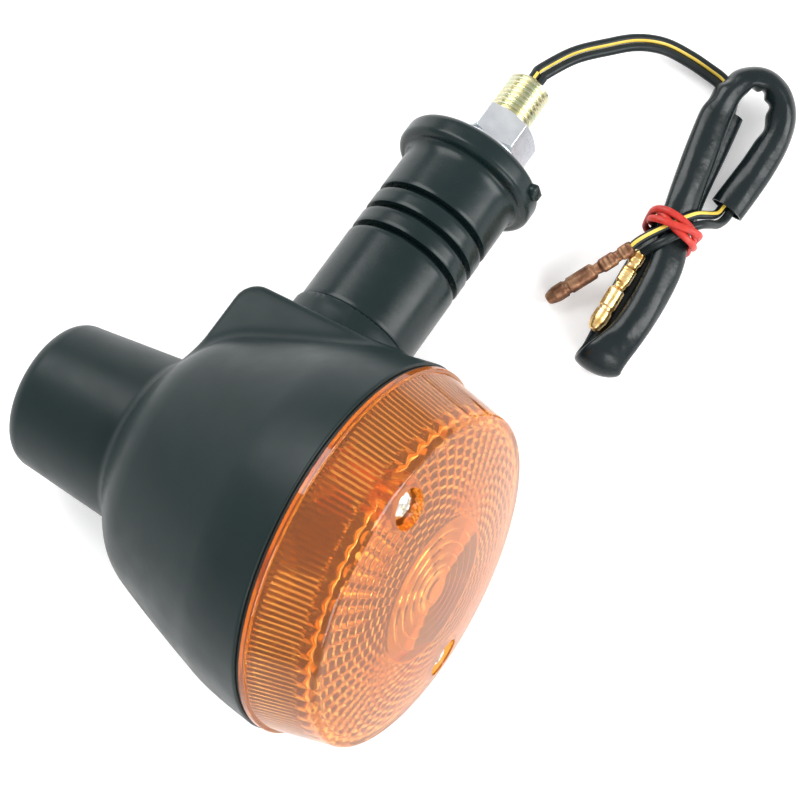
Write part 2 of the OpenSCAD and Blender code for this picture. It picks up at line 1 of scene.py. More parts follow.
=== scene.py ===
"""Looks of the turn signal indicator: camera, wires, detailed shells, materials and light.

Shapes are drawn in millimetres in the lamp's own axes, as in the CAD model: x runs along the lamp
towards the lens, y along the stem towards the stud, and they cross at 0. laid() puts them down in
the frame. The free wires lie on the surface and are drawn in the frame's own axes.
"""

import json
import math

import bmesh
import bpy
import numpy as np
from mathutils import Matrix


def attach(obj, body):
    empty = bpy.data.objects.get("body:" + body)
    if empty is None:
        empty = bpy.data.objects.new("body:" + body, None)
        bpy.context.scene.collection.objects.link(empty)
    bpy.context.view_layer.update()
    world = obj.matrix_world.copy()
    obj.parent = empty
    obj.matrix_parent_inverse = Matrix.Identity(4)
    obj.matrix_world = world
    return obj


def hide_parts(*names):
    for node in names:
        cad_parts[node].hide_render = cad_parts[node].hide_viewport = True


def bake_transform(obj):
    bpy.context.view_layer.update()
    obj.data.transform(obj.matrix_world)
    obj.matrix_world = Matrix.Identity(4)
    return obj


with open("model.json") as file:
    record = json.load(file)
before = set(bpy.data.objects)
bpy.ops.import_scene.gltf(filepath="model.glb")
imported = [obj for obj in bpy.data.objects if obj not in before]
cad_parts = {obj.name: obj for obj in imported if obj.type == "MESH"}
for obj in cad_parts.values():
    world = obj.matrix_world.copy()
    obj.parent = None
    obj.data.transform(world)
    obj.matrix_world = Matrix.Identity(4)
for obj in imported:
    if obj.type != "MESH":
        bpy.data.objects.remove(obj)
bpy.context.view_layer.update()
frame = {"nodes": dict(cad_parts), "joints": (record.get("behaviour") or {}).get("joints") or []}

# ---- Placement ----
MM = 0.001
joint = {j["name"]: j for j in frame["joints"]}
LAMP_AXIS = np.array(joint["lens_pull"]["axis"])
STEM_AXIS = np.array(joint["nut_turn"]["axis"])
ACROSS_AXIS = np.cross(LAMP_AXIS, STEM_AXIS)
AXES = np.array([LAMP_AXIS, STEM_AXIS, ACROSS_AXIS])
NUT_MIDDLE_Y = 100
CENTRE = np.array(joint["nut_turn"]["pos_m"]) - NUT_MIDDLE_Y * MM * STEM_AXIS


def laid(points):
    """Points of the lamp's axes, in millimetres, as points of the frame, in metres."""
    return CENTRE + MM * (np.asarray(points, float) @ AXES)


# ---- Sizes shared by several pieces, the same as in the CAD model ----
RIM_R, RIM_X, RIM_EDGE = 41.5, 29.2, 0.5
RIM_BORE_R = 38.6
TUBE_R, TUBE_END, TUBE_EDGE = 16.7, 50, 4
WALL = 2.4
BLOCK_BACK, BLOCK_TOP, BLOCK_HALF = 19.5, 37, 16.3
COLLAR_R, SEAM_Y = 14.2, 42.5
BULKHEAD_BACK, BULKHEAD_FRONT, SOCKET_R = -24, -20, 9.3
SCREW_AT, SCREW_CLOCK, SCREW_R, WELL_R = 30.5, 3, 2, 4.4
LENS_BACK, LENS_FLANGE_R = 30, 41.2
FACE_R, FACE_X, FACE_EDGE, DOME, LENS_WALL = 37.5, 46.2, 1.5, 3.9, 2.2
WELL_FLOOR = 44.2
STEM_R, FLANGE_R, FLANGE_Y, FLANGE_T = 13.6, 16.7, 92.5, 6
GROOVES, GROOVE_W, GROOVE_D = [62.7, 68.2, 73.7], 1.6, 2.4
STUD_R, STUD_BORE_R, STUD_END, THREAD_PITCH = 5, 3.1, 115.8, 1.25
NUT_Y, NUT_T, NUT_R, NUT_TURN = 96, 8, 9.25, 22.6
WIRE_R, PAIR = 1, 1.02


# ---- Curves ----
def bezier(a, b, c, d, n):
    t = np.linspace(0, 1, n + 1)[:, None]
    s = 1 - t
    a, b, c, d = (np.array(p, float) for p in (a, b, c, d))
    return s**3 * a + 3 * s * s * t * b + 3 * s * t * t * c + t**3 * d


def arc(centre, r, start, end, n):
    """Points on a circle from one angle to another, in degrees."""
    a = np.radians(np.linspace(start, end, n + 1))
    return np.array(centre, float) + r * np.stack([np.cos(a), np.sin(a)], -1)


def evenly(points, step):
    """The same line with points at even steps, its corners kept to within a step."""
    points = np.asarray(points, float)
    along = np.concatenate([[0], np.cumsum(np.linalg.norm(np.diff(points, axis=0), axis=1))])
    at = np.linspace(0, along[-1], max(2, int(round(along[-1] / step)) + 1))
    return np.stack([np.interp(at, along, points[:, k]) for k in range(points.shape[1])], -1)


def smooth(points, per):
    """A smooth curve through points, with per steps from each to the next."""
    p = np.asarray(points, float)
    before = np.vstack([p[:1], p[:-2]])
    after = np.vstack([p[2:], p[-1:]])
    rows = []
    for a, b, c, d in zip(before, p[:-1], p[1:], after):
        for t in np.arange(per) / per:
            rows.append(0.5 * (2 * b + (c - a) * t + (2 * a - 5 * b + 4 * c - d) * t**2
                               + (3 * b - a - 3 * c + d) * t**3))
    return np.array(rows + [p[-1]])


def headings(path):
    t = np.empty_like(path)
    t[1:-1] = path[2:] - path[:-2]
    t[0], t[-1] = path[1] - path[0], path[-1] - path[-2]
    return t / np.linalg.norm(t, axis=1)[:, None]


def sides(t, start):
    """A sideways direction at each point, carried along the path without twist."""
    w, rows = np.array(start, float), []
    for heading in t:
        w = w - (w @ heading) * heading
        w = w / np.linalg.norm(w)
        rows.append(w)
    return np.array(rows)


def smoothstep(a, b, x):
    t = np.clip((x - a) / (b - a), 0, 1)
    return t * t * (3 - 2 * t)


# ---- Meshes ----
class Shape:
    """Points and faces of one mesh, gathered sheet by sheet."""

    def __init__(self):
        self.points, self.faces, self.finish = [], [], []
        self.count = 0

    def sheet(self, grid, finish=0):
        """A grid of points, rows by columns, as quads; finish may be one number or one a column."""
        rows, columns = grid.shape[:2]
        index = self.count + np.arange(rows * columns).reshape(rows, columns)
        beside = np.roll(index, -1, axis=1)
        quads = np.stack([index[:-1], beside[:-1], beside[1:], index[1:]], -1)
        slots = np.broadcast_to(np.asarray(finish), quads.shape[:2])
        self.points.append(grid.reshape(-1, 3))
        self.faces.append(quads.reshape(-1, 4))
        self.finish.append(slots.reshape(-1))
        self.count += rows * columns
        return self

    def piece(self, name, materials, body=None, nodes=(), slot=None, in_lamp_axes=True, sharp=32):
        """Makes the mesh, welded and smooth shaded, and lets it ride on its body."""
        points = np.vstack(self.points)
        points = laid(points) if in_lamp_axes else MM * points
        name = name + "_detail"
        mesh = bpy.data.meshes.new(name)
        mesh.from_pydata(points.tolist(), [], np.vstack(self.faces).tolist())
        mesh.polygons.foreach_set("material_index", np.concatenate(self.finish).astype(np.int32))
        for material in materials if isinstance(materials, (list, tuple)) else [materials]:
            mesh.materials.append(material)
        weld(mesh)
        mesh.shade_smooth()
        mesh.set_sharp_from_angle(angle=math.radians(sharp))
        made = bpy.data.objects.new(name, mesh)
        bpy.context.scene.collection.objects.link(made)
        if nodes:
            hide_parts(*nodes)
        if body:
            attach(made, body)
        return made


def weld(mesh):
    work = bmesh.new()
    work.from_mesh(mesh)
    bmesh.ops.remove_doubles(work, verts=work.verts, dist=0.002 * MM)
    bmesh.ops.dissolve_degenerate(work, edges=work.edges, dist=0.001 * MM)
    bmesh.ops.recalc_face_normals(work, faces=work.faces)
    work.to_mesh(mesh)
    work.free()


def turned(outline, columns, axis="x", at=(0, 0, 0), swell=None):
    """A grid turned about the x or y axis from an outline of [along, radius] points.

    swell, where given, is a function of (along, radius, angle) that returns the radius there.
    """
    outline = np.asarray(outline, float)
    angle = np.arange(columns) * 2 * np.pi / columns
    along = np.repeat(outline[:, :1], columns, axis=1)
    radius = np.repeat(outline[:, 1:2], columns, axis=1)
    if swell:
        radius = swell(along, radius, angle[None, :])
    u, v = radius * np.cos(angle), radius * np.sin(angle)
    if axis == "x":
        grid = np.stack([along, u, v], -1)
    else:
        grid = np.stack([u, along, -v], -1)
    return grid + np.array(at, float)


def rings(path, t, w, wide, thick, n, bulge=None):
    """Oval rings round a path: wide along w and thick across it. bulge scales each point."""
    angle = np.arange(n) * 2 * np.pi / n
    wide = np.broadcast_to(wide, len(path))[:, None, None]
    thick = np.broadcast_to(thick, len(path))[:, None, None]
    across = np.cross(t, w)
    offset = (wide * np.cos(angle)[None, :, None] * w[:, None, :]
              + thick * np.sin(angle)[None, :, None] * across[:, None, :])
    if bulge is not None:
        offset = offset * bulge[:, :, None]
    return path[:, None, :] + offset


def closed_end(grid, end):
    """One row that draws a grid's end together at its middle, to close it."""
    row = grid[end]
    return np.repeat(row.mean(axis=0)[None, :], len(row), axis=0)[None]


# ---- Materials ----
def blank(name):
    made = bpy.data.materials.new(name)
    made.use_nodes = True
    return made, made.node_tree, made.node_tree.nodes["Principled BSDF"]


def noise(tree, scale, detail=3, distort=0.0):
    """A noise texture in the frame's metres."""
    place = tree.nodes.new("ShaderNodeTexCoord")
    texture = tree.nodes.new("ShaderNodeTexNoise")
    texture.inputs["Scale"].default_value = scale
    texture.inputs["Detail"].default_value = detail
    texture.inputs["Distortion"].default_value = distort
    tree.links.new(place.outputs["Object"], texture.inputs["Vector"])
    return texture.outputs["Fac"]


def ramp(tree, factor, stops):
    """Colours at places along a factor."""
    node = tree.nodes.new("ShaderNodeValToRGB")
    elements = node.color_ramp.elements
    while len(elements) < len(stops):
        elements.new(0.5)
    for element, (at, colour) in zip(elements, stops):
        element.position = at
        element.color = (*colour, 1)
    tree.links.new(factor, node.inputs["Fac"])
    return node.outputs["Color"]


def spread(tree, factor, low, high):
    node = tree.nodes.new("ShaderNodeMapRange")
    node.inputs["From Min"].default_value = 0.3
    node.inputs["From Max"].default_value = 0.7
    node.inputs["To Min"].default_value = low
    node.inputs["To Max"].default_value = high
    tree.links.new(factor, node.inputs["Value"])
    return node.outputs["Result"]


def add_bumps(tree, shader, bumps):
    """Bumps of (noise, height in millimetres), each on top of the one before."""
    normal = None
    for height, depth in bumps:
        node = tree.nodes.new("ShaderNodeBump")
        node.inputs["Strength"].default_value = 1
        node.inputs["Distance"].default_value = depth * MM
        tree.links.new(height, node.inputs["Height"])
        if normal:
            tree.links.new(normal, node.inputs["Normal"])
        normal = node.outputs["Normal"]
    tree.links.new(normal, shader.inputs["Normal"])


def finish(name, stops, rough, tone_scale, bumps, metallic=0.0, level=0.5):
    """A material with noisy colour and roughness. bumps are (scale, detail, height in mm)."""
    made, tree, shader = blank(name)
    tone = noise(tree, tone_scale, 4, 0.3)
    tree.links.new(ramp(tree, tone, stops), shader.inputs["Base Color"])
    tree.links.new(spread(tree, noise(tree, tone_scale * 2.3, 4), *rough),
                   shader.inputs["Roughness"])
    shader.inputs["Metallic"].default_value = metallic
    shader.inputs["Specular IOR Level"].default_value = level
    add_bumps(tree, shader, [(noise(tree, scale, detail), depth)
                             for scale, detail, depth in bumps])
    return made


def tones(dark, light):
    return [(0.3, dark), (0.7, light)]


def make_finishes():
    """Every opaque material by name."""
    made = {}
    made["housing"] = finish(
        "housing_plastic", tones((0.0060, 0.0140, 0.0145), (0.0085, 0.0180, 0.0185)), (0.34, 0.44), 60,
        [(2600, 2, 0.012), (350, 3, 0.02)], level=0.19)
    made["rubber"] = finish(
        "stem_rubber", tones((0.0045, 0.0120, 0.0125), (0.0070, 0.0160, 0.0165)), (0.22, 0.31), 90,
        [(160, 3, 0.05), (1800, 2, 0.006)], level=0.24)
    made["wire_black"] = finish(
        "wire_black", tones((0.007, 0.011, 0.012), (0.012, 0.017, 0.018)), (0.28, 0.42), 300,
        [(900, 3, 0.01)], level=0.25)
    made["wire_yellow"] = finish(
        "wire_yellow", tones((0.72, 0.50, 0.06), (0.84, 0.62, 0.12)), (0.3, 0.45), 300,
        [(900, 3, 0.01)])
    made["sleeve"] = finish(
        "sleeve_vinyl", tones((0.004, 0.0085, 0.0095), (0.0075, 0.0125, 0.0135)), (0.18, 0.32), 120,
        [(240, 4, 0.14), (90, 3, 0.25), (1500, 2, 0.01)], level=0.26)
    made["band"] = finish(
        "band_rubber", tones((0.36, 0.012, 0.008), (0.56, 0.030, 0.014)), (0.4, 0.55), 500,
        [(1500, 3, 0.03)])
    made["gasket"] = finish(
        "gasket_rubber", tones((0.012, 0.009, 0.008), (0.022, 0.016, 0.013)), (0.5, 0.7), 200,
        [(1200, 3, 0.02)])
    made["board"] = finish(
        "insulating_board", tones((0.22, 0.11, 0.05), (0.32, 0.17, 0.08)), (0.45, 0.6), 260,
        [(1400, 4, 0.02)])
    made["bright_zinc"] = finish(
        "bright_zinc", tones((0.60, 0.63, 0.68), (0.78, 0.80, 0.82)), (0.2, 0.34), 120,
        [(1300, 3, 0.012), (260, 2, 0.02)], metallic=1)
    made["plain_steel"] = finish(
        "plain_steel", tones((0.42, 0.42, 0.41), (0.62, 0.61, 0.59)), (0.28, 0.45), 150,
        [(1100, 3, 0.015)], metallic=1)
    made["screw_steel"] = finish(
        "screw_steel", tones((0.62, 0.60, 0.54), (0.82, 0.79, 0.70)), (0.16, 0.3), 400,
        [(1800, 2, 0.01)], metallic=1)
    made["chrome"] = finish(
        "reflector_chrome", tones((0.80, 0.79, 0.74), (0.92, 0.91, 0.88)), (0.05, 0.14), 80,
        [(220, 2, 0.05)], metallic=1)
    made["brass"] = finish(
        "brass", tones((0.62, 0.40, 0.13), (0.80, 0.56, 0.22)), (0.22, 0.4), 260,
        [(1400, 3, 0.012)], metallic=1)
    made["gold_brass"] = finish(
        "gold_brass", [(0.3, (0.50, 0.26, 0.07)), (0.5, (0.83, 0.56, 0.22)), (0.7, (0.95, 0.78, 0.45))],
        (0.2, 0.42), 420, [(1300, 3, 0.03)], metallic=1)
    made["brown_brass"] = finish(
        "tarnished_brass", [(0.3, (0.08, 0.035, 0.018)), (0.5, (0.21, 0.10, 0.055)),
                            (0.7, (0.40, 0.23, 0.13))],
        (0.35, 0.6), 420, [(1300, 3, 0.03)], metallic=0.75)
    made["yellow_zinc"] = finish(
        "yellow_zinc", [(0.28, (0.46, 0.52, 0.34)), (0.42, (0.70, 0.64, 0.42)), (0.56, (0.56, 0.60, 0.42)),
                        (0.72, (0.66, 0.50, 0.44))],
        (0.18, 0.32), 240, [(1600, 3, 0.01)], metallic=1)
    made["plain_washer"] = finish(
        "washer_zinc", tones((0.58, 0.68, 0.62), (0.72, 0.78, 0.72)), (0.25, 0.4), 200,
        [(1500, 3, 0.01)], metallic=1)
    made["filament"] = finish(
        "filament_wire", tones((0.30, 0.30, 0.32), (0.5, 0.5, 0.52)), (0.35, 0.5), 900,
        [(3000, 2, 0.004)], metallic=1)
    return made


def glassy(name, colour, rough, ior, bumps):
    """A clear material. The colour and index are the same all over; roughness comes from noise."""
    made, tree, shader = blank(name)
    shader.inputs["Base Color"].default_value = (*colour, 1)
    shader.inputs["Transmission Weight"].default_value = 1
    shader.inputs["IOR"].default_value = ior
    tree.links.new(spread(tree, noise(tree, 220, 3), *rough), shader.inputs["Roughness"])
    add_bumps(tree, shader, [(noise(tree, scale, detail), depth) for scale, detail, depth in bumps])
    return made


def amber_lens():
    """Moulded amber plastic: mostly clear, with a share that scatters light as real acrylic does."""
    made, tree, shader = blank("amber_lens")
    shader.inputs["Transmission Weight"].default_value = 1
    shader.inputs["IOR"].default_value = 1.49
    tree.links.new(ramp(tree, noise(tree, 45, 3), tones((1.0, 0.47, 0.07), (1.0, 0.54, 0.10))),
                   shader.inputs["Base Color"])
    tree.links.new(spread(tree, noise(tree, 160, 3), 0.02, 0.07), shader.inputs["Roughness"])
    add_bumps(tree, shader, [(noise(tree, 150, 2), 0.02)])
    glow = tree.nodes.new("ShaderNodeBsdfTranslucent")
    glow.inputs["Color"].default_value = (1.0, 0.42, 0.05, 1)
    skin = tree.nodes.new("ShaderNodeBsdfDiffuse")
    skin.inputs["Color"].default_value = (1.0, 0.36, 0.08, 1)
    haze = tree.nodes.new("ShaderNodeMixShader")
    haze.inputs["Fac"].default_value = 0.4
    both = tree.nodes.new("ShaderNodeMixShader")
    both.inputs["Fac"].default_value = 0.19
    tree.links.new(glow.outputs["BSDF"], haze.inputs[1])
    tree.links.new(skin.outputs["BSDF"], haze.inputs[2])
    tree.links.new(shader.outputs["BSDF"], both.inputs[1])
    tree.links.new(haze.outputs["Shader"], both.inputs[2])
    tree.links.new(both.outputs["Shader"], tree.nodes["Material Output"].inputs["Surface"])
    return made


# ---- Camera ----
def make_camera():
    data = bpy.data.cameras.new("camera")
    data.sensor_width = 36
    data.lens = 138.2
    data.clip_end = 10
    camera = bpy.data.objects.new("camera", data)
    bpy.context.scene.collection.objects.link(camera)
    right = np.array([0.8268, 0.5428, -0.1474]) @ AXES
    up = np.array([-0.4098, 0.7609, 0.5031]) @ AXES
    back = np.cross(right, up)
    place = laid([267.1, -195.6, 550.0])
    camera.matrix_world = Matrix([[right[k], up[k], back[k], place[k]] for k in range(3)]
                                 + [[0, 0, 0, 1]])
    bpy.context.scene.camera = camera


# ---- Free wires: the same routes as in the CAD model ----
ARC_ROUTE = [
    [-1.9, 81.3, 11.5], [1.5, 88.9, 9.8], [6.3, 95.4, 7.8], [11, 100.8, 6], [16.4, 104.2, 4.4],
    [22.5, 105.4, 3.3], [28, 105.5, 2.9], [31.6, 105.2, 2.9], [34.3, 103.9, 2.9],
    [35.8, 102, 2.9]]
# Middle line of the sleeve, with its half thickness and half width at each point, in millimetres
SLEEVE_ROUTE = [
    [36.6, 99.5, 2.9, 2.8, 4], [37.5, 94, 2.9, 2.8, 4], [38.7, 87, 2.9, 2.8, 4],
    [40, 79, 3.1, 2.7, 4], [40.9, 73.5, 3.6, 2.5, 4.1], [41.2, 68, 4, 2.3, 4.2],
    [40.9, 62, 3.6, 2.5, 4.1], [40.9, 55, 3, 2.8, 4], [41.6, 48, 2.9, 2.8, 4],
    [42.8, 42, 2.8, 2.6, 4.2], [43.9, 37.5, 2.6, 2.1, 4.8], [44.3, 34.6, 3.4, 1.9, 5.3],
    [44.6, 33.6, 5.6, 1.9, 5.4], [44.9, 34.6, 7.9, 1.9, 5.3], [45.5, 37.8, 8.9, 2.1, 4.6],
    [46.1, 42, 8.9, 2.6, 4.1], [46.2, 48, 8.9, 2.8, 4], [45.6, 55, 8.9, 2.8, 4],
    [44.5, 61.5, 9, 2.5, 4], [42, 68, 8.8, 2.3, 4.1], [40.4, 73.5, 8.9, 2.5, 4.1],
    [38.9, 79, 8.9, 2.8, 4], [36.9, 88, 8.9, 2.8, 4], [34.9, 97, 8.9, 2.9, 3.7],
    [34.6, 102.5, 8.9, 3.5, 3.1], [36.3, 106.8, 8.6, 3.9, 2.8], [39.8, 109, 8.1, 4, 2.9],
    [44, 108.2, 7.3, 3.8, 3.2], [47.3, 104.8, 6.3, 3.6, 3.5], [48.9, 99.5, 5.3, 3.4, 3.7],
    [49.3, 93, 4.3, 3.1, 3.9], [49.1, 86.5, 3.5, 2.9, 4], [48.8, 80.7, 3, 2.9, 4]]
STRIPED_TAIL = [
    [47.5, 78.3, 3.7], [46.6, 76.4, 6.4], [45.3, 74.6, 9.4], [43.9, 72.9, 11.4],
    [42.4, 70.6, 12.3], [40.5, 67.4, 12.3], [38.2, 63.6, 11.7], [36.8, 60.9, 10.8]]
BLACK_TAIL = [
    [49.7, 78.2, 3.5], [49, 75.8, 5.6], [47.7, 74, 8.4], [46.2, 72.1, 10.7],
    [44.5, 69.6, 11.8], [42.9, 66.4, 12.2], [41.4, 63.7, 12.3], [40.2, 61.9, 11.3],
    [39.2, 60.6, 9.7]]
STRIPED_BULLET = [[36.2, 59, 10], [27.1, 40.5, 2.3]]
BLACK_BULLET = [[38.5, 59.4, 8.3], [39.4, 39.2, 7.8]]
SLEEVE_STEPS = 8


def sleeve_line():
    """The sleeve's middle line, half thickness and half width, finely divided."""
    fine = smooth(SLEEVE_ROUTE, SLEEVE_STEPS)
    return fine[:, :3], fine[:, 3], fine[:, 4]


def pair_line():
    """The middle line of the two wires and the direction from one to the other."""
    end = laid([0, STUD_END, 0]) / MM
    inner = end - 6 * STEM_AXIS
    lead = smooth([inner, end, end + 3 * STEM_AXIS] + ARC_ROUTE + [SLEEVE_ROUTE[0][:3]],
                  SLEEVE_STEPS)[SLEEVE_STEPS:-1]
    middle = np.vstack([lead, sleeve_line()[0]])
    t = headings(middle)
    count = len(lead)
    flat = [1, 0, 0]
    to_stud = sides(t[:count + 1][::-1], flat)[::-1][:count]
    return middle, np.vstack([to_stud, sides(t[count:], flat)])


def make_wire(name, side, tail, bullet, finishes, striped):
    """One wire, from the stud's end through the sleeve to its bullet terminal."""
    middle, across = pair_line()
    inside = middle + side * PAIR * across
    loose = smooth([inside[-9], inside[-1]] + tail + [bullet[0]], 6)[6:]
    path = np.vstack([inside[:-1], loose])
    t = headings(path)
    w = sides(t, across[0])
    n = 24
    w = twisted(t, w, len(inside) - 30, len(inside) - 4, TAIL_TWIST)
    grid = rings(path, t, w, WIRE_R, WIRE_R, n)
    columns = np.zeros(n, int)
    if striped:
        columns[STRIPE_COLUMNS] = 1
    shape = Shape().sheet(grid, finish=columns[None, :])
    shape.sheet(np.concatenate([closed_end(grid, 0), grid[:1]]))
    shape.sheet(np.concatenate([grid[-1:], closed_end(grid, -1)]))
    made = shape.piece(name, finishes, "stem_mount", [name],
                       "wire_striped" if striped else "wire_black", in_lamp_axes=False)
    return made, path


# The wire's columns, of 24, that are yellow, and how far the wires turn in the sleeve, in degrees
STRIPE_COLUMNS = [5, 6, 7]
TAIL_TWIST = 120


def twisted(t, w, first, last, degrees):
    """The side vectors turned about the wire, all of it between two rings."""
    turn = np.radians(degrees) * smoothstep(first, last, np.arange(len(t)))[:, None]
    return w * np.cos(turn) + np.cross(t, w) * np.sin(turn)


def sleeve_bulge(n, along):
    """Buckles and slack in the soft wall: a factor for each ring point."""
    angle = np.arange(n)[None, :] * 2 * np.pi / n
    s = along[:, None]
    slack = (0.020 * np.sin(3 * angle + 0.09 * s) * np.sin(0.21 * s)
             + 0.016 * np.sin(2 * angle - 0.13 * s + 1.3) + 0.010 * np.sin(5 * angle + 0.31 * s))
    return 1 + slack


def make_sleeve(material):
    middle, thick, wide = sleeve_line()
    t = headings(middle)
    w = sides(t, [1, 0, 0])
    n = 48
    along = np.concatenate([[0], np.cumsum(np.linalg.norm(np.diff(middle, axis=0), axis=1))])
    bulge = sleeve_bulge(n, along)
    angle = np.arange(n)[None, :] * 2 * np.pi / n
    for at, depth, width, facing in SLEEVE_KINKS:
        near = np.exp(-((along - at) / width) ** 2)[:, None]
        bulge = bulge - depth * near * np.clip(np.cos(angle - math.radians(facing)), 0, 1) ** 3
    outer = rings(middle, t, w, wide, thick, n, bulge)
    wall = 0.45
    inner = rings(middle, t, w, wide - wall, thick - wall, n, bulge)
    shape = Shape()
    shape.sheet(np.concatenate([outer, inner[::-1], outer[:1]]))
    made = shape.piece("wire_sleeve", material, "stem_mount", ["wire_sleeve"], "sleeve_vinyl",
                       in_lamp_axes=False, sharp=50)
    return made, middle


# Kinks in the sleeve: distance along it, depth, length, and the side that it dents, in degrees
SLEEVE_KINKS = [
    (64, 0.22, 1.6, 90), (67.5, 0.28, 1.3, 90), (71, 0.20, 1.3, 270), (75, 0.16, 1.6, 250),
    (137, 0.22, 2.0, 180), (141.5, 0.34, 1.3, 180), (146, 0.30, 1.4, 0), (151, 0.36, 1.4, 0),
    (156, 0.26, 1.6, 0), (163, 0.18, 2.2, 0), (12, 0.08, 4.0, 90), (108, 0.10, 4.0, 90)]


def make_band(material):
    """A rubber band that goes three times round, its strands twisted over each other."""
    middle, half_x, half_z, corner = np.array([41.6, 68.2, 7.65]), 5.7, 6.45, 3.8
    edge = np.vstack([
        arc([half_x - corner, half_z - corner], corner, 0, 90, 12),
        arc([corner - half_x, half_z - corner], corner, 90, 180, 12),
        arc([corner - half_x, corner - half_z], corner, 180, 270, 12),
        arc([half_x - corner, corner - half_z], corner, 270, 360, 12)])
    oval = evenly(np.vstack([edge, edge[:1]]), 0.35)[:-1]
    count = len(oval)
    turn = np.arange(3 * count) * 2 * np.pi / count
    loop = np.vstack([oval] * 3)
    out = loop / np.linalg.norm(loop, axis=1)[:, None]
    twist = 4 / 3 * turn + 0.4
    flat = loop + 0.45 * np.sin(twist)[:, None] * out
    path = np.stack([flat[:, 0], 1.5 * np.cos(twist), flat[:, 1]], -1) + middle
    ahead = np.roll(path, -1, axis=0) - np.roll(path, 1, axis=0)
    t = ahead / np.linalg.norm(ahead, axis=1)[:, None]
    w = np.cross(t, np.stack([out[:, 0], 0 * turn, out[:, 1]], -1))
    w = w / np.linalg.norm(w, axis=1)[:, None]
    grid = rings(path, t, w, 0.85, 0.62, 14)
    shape = Shape().sheet(np.concatenate([grid, grid[:1]]))
    return shape.piece("rubber_band", material, "stem_mount", ["rubber_band"], "band_rubber",
                       in_lamp_axes=False)


def make_bullet(name, ends, material, slot, turn):
    """A bullet terminal: crimped wings, neck, barrel with a rolled groove, and a rounded nose."""
    start, end = np.array(ends, float)
    long = np.linalg.norm(end - start)
    t = (end - start) / long
    w = np.cross(t, [0, 0, 1])
    w = w / np.linalg.norm(w)
    up = np.cross(t, w)
    outline = np.vstack([
        [[-0.4, 1.08], [-0.4, 1.35], [0, 1.45], [2.4, 1.45], [2.9, 1.15], [3.9, 1.15], [4.3, 1.5],
         [7.4, 1.5], [8.1, 1.2], [9.2, 1.2], [9.8, 1.82]],
        [[10, 1.9], [long - 6, 1.9], [long - 5.75, 1.6], [long - 5.1, 1.6], [long - 4.85, 1.9],
         [long - 2.4, 1.9]],
        bezier([long - 2.4, 1.9], [long - 1.2, 1.6], [long - 0.1, 1.4], [long, 0.9], 6),
        [[long, 0.45], [long - 0.5, 0.4], [long - 0.5, 0]]])
    fine = evenly(outline, 0.16)
    n = 40
    angle = np.arange(n) * 2 * np.pi / n + turn
    s, r = fine[:, :1], fine[:, 1:2]
    crimp = smoothstep(-0.2, 0.4, s) * (1 - smoothstep(8.4, 9.4, s))
    wing = 0.16 * np.cos(2 * angle) - 0.22 * np.exp(-((np.cos(angle) - 1) / 0.05) ** 2)
    teeth = 0.06 * np.sin(s * 5.2) * np.sin(angle) ** 2
    radius = r * (1 + crimp * (wing + teeth))
    u, v = radius * np.cos(angle), radius * np.sin(angle)
    grid = start + s[:, :, None] * t + u[:, :, None] * w + v[:, :, None] * up
    return Shape().sheet(grid).piece(name, material, "stem_mount", [name], slot, in_lamp_axes=False)


def make_cords(finishes):
    black, yellow = finishes["wire_black"], finishes["wire_yellow"]
    wire_striped, striped_path = make_wire(
        "wire_striped", 1, STRIPED_TAIL, STRIPED_BULLET, [black, yellow], True)
    wire_black, black_path = make_wire("wire_black", -1, BLACK_TAIL, BLACK_BULLET, [black], False)
    sleeve, sleeve_path = make_sleeve(finishes["sleeve"])
    band = make_band(finishes["band"])
    bullet_striped = make_bullet("bullet_striped", STRIPED_BULLET, finishes["brown_brass"],
                                 "tarnished_brass", 0.6)
    bullet_black = make_bullet("bullet_black", BLACK_BULLET, finishes["gold_brass"],
                               "gold_brass", 1.2)


# ---- Housing ----
def shoulder_and_flare():
    """The bowl's outline from the rear tube to the rim, as [x, radius]."""
    return np.vstack([
        bezier([-22.5, 18.9], [-21.3, 19.3], [-20.6, 19.9], [-19.9, 20.8], 12),
        bezier([-19.9, 20.8], [-16.4, 25.2], [-15.2, 27.4], [-10, 29.6], 30)[1:],
        bezier([-10, 29.6], [-2, 32.9], [6, 35.7], [14, 38.5], 30)[1:],
        bezier([14, 38.5], [17.5, 39.7], [22, 40.5], [RIM_X - RIM_EDGE, RIM_R], 24)[1:]])


def blend_in(a, b, k):
    """The nearer of two distances, rounded together over about k."""
    h = np.clip(0.5 + 0.5 * (b - a) / k, 0, 1)
    return b * (1 - h) + a * h - k * h * (1 - h)


def box_distance(x, y, z, inset, front, edge, corner):
    """Distance to the side block: flat sides, and a large round corner at its upper back."""
    left, top, half = -BLOCK_BACK + inset, BLOCK_TOP - inset, BLOCK_HALF - inset
    back_x = left + corner - x
    top_y = y - (top - corner)
    round_back = np.hypot(np.maximum(back_x, 0), np.maximum(top_y, 0)) - corner
    flat = np.maximum(back_x - corner, top_y - corner)
    outline = np.where((back_x > 0) & (top_y > 0), round_back, np.maximum(flat, x - front))
    sides_z = np.maximum(np.abs(z) - half, -y)
    u, v = outline + edge, sides_z + edge
    return np.minimum(np.maximum(u, v), 0) + np.hypot(np.maximum(u, 0), np.maximum(v, 0)) - edge


def bowl_distance(outline, x, r):
    """Distance to a surface turned about the lamp's axis, near enough for blending."""
    slope = np.gradient(outline[:, 1], outline[:, 0])
    lean = 1 / np.sqrt(1 + np.interp(x, outline[:, 0], slope) ** 2)
    return (r - np.interp(x, outline[:, 0], outline[:, 1])) * lean


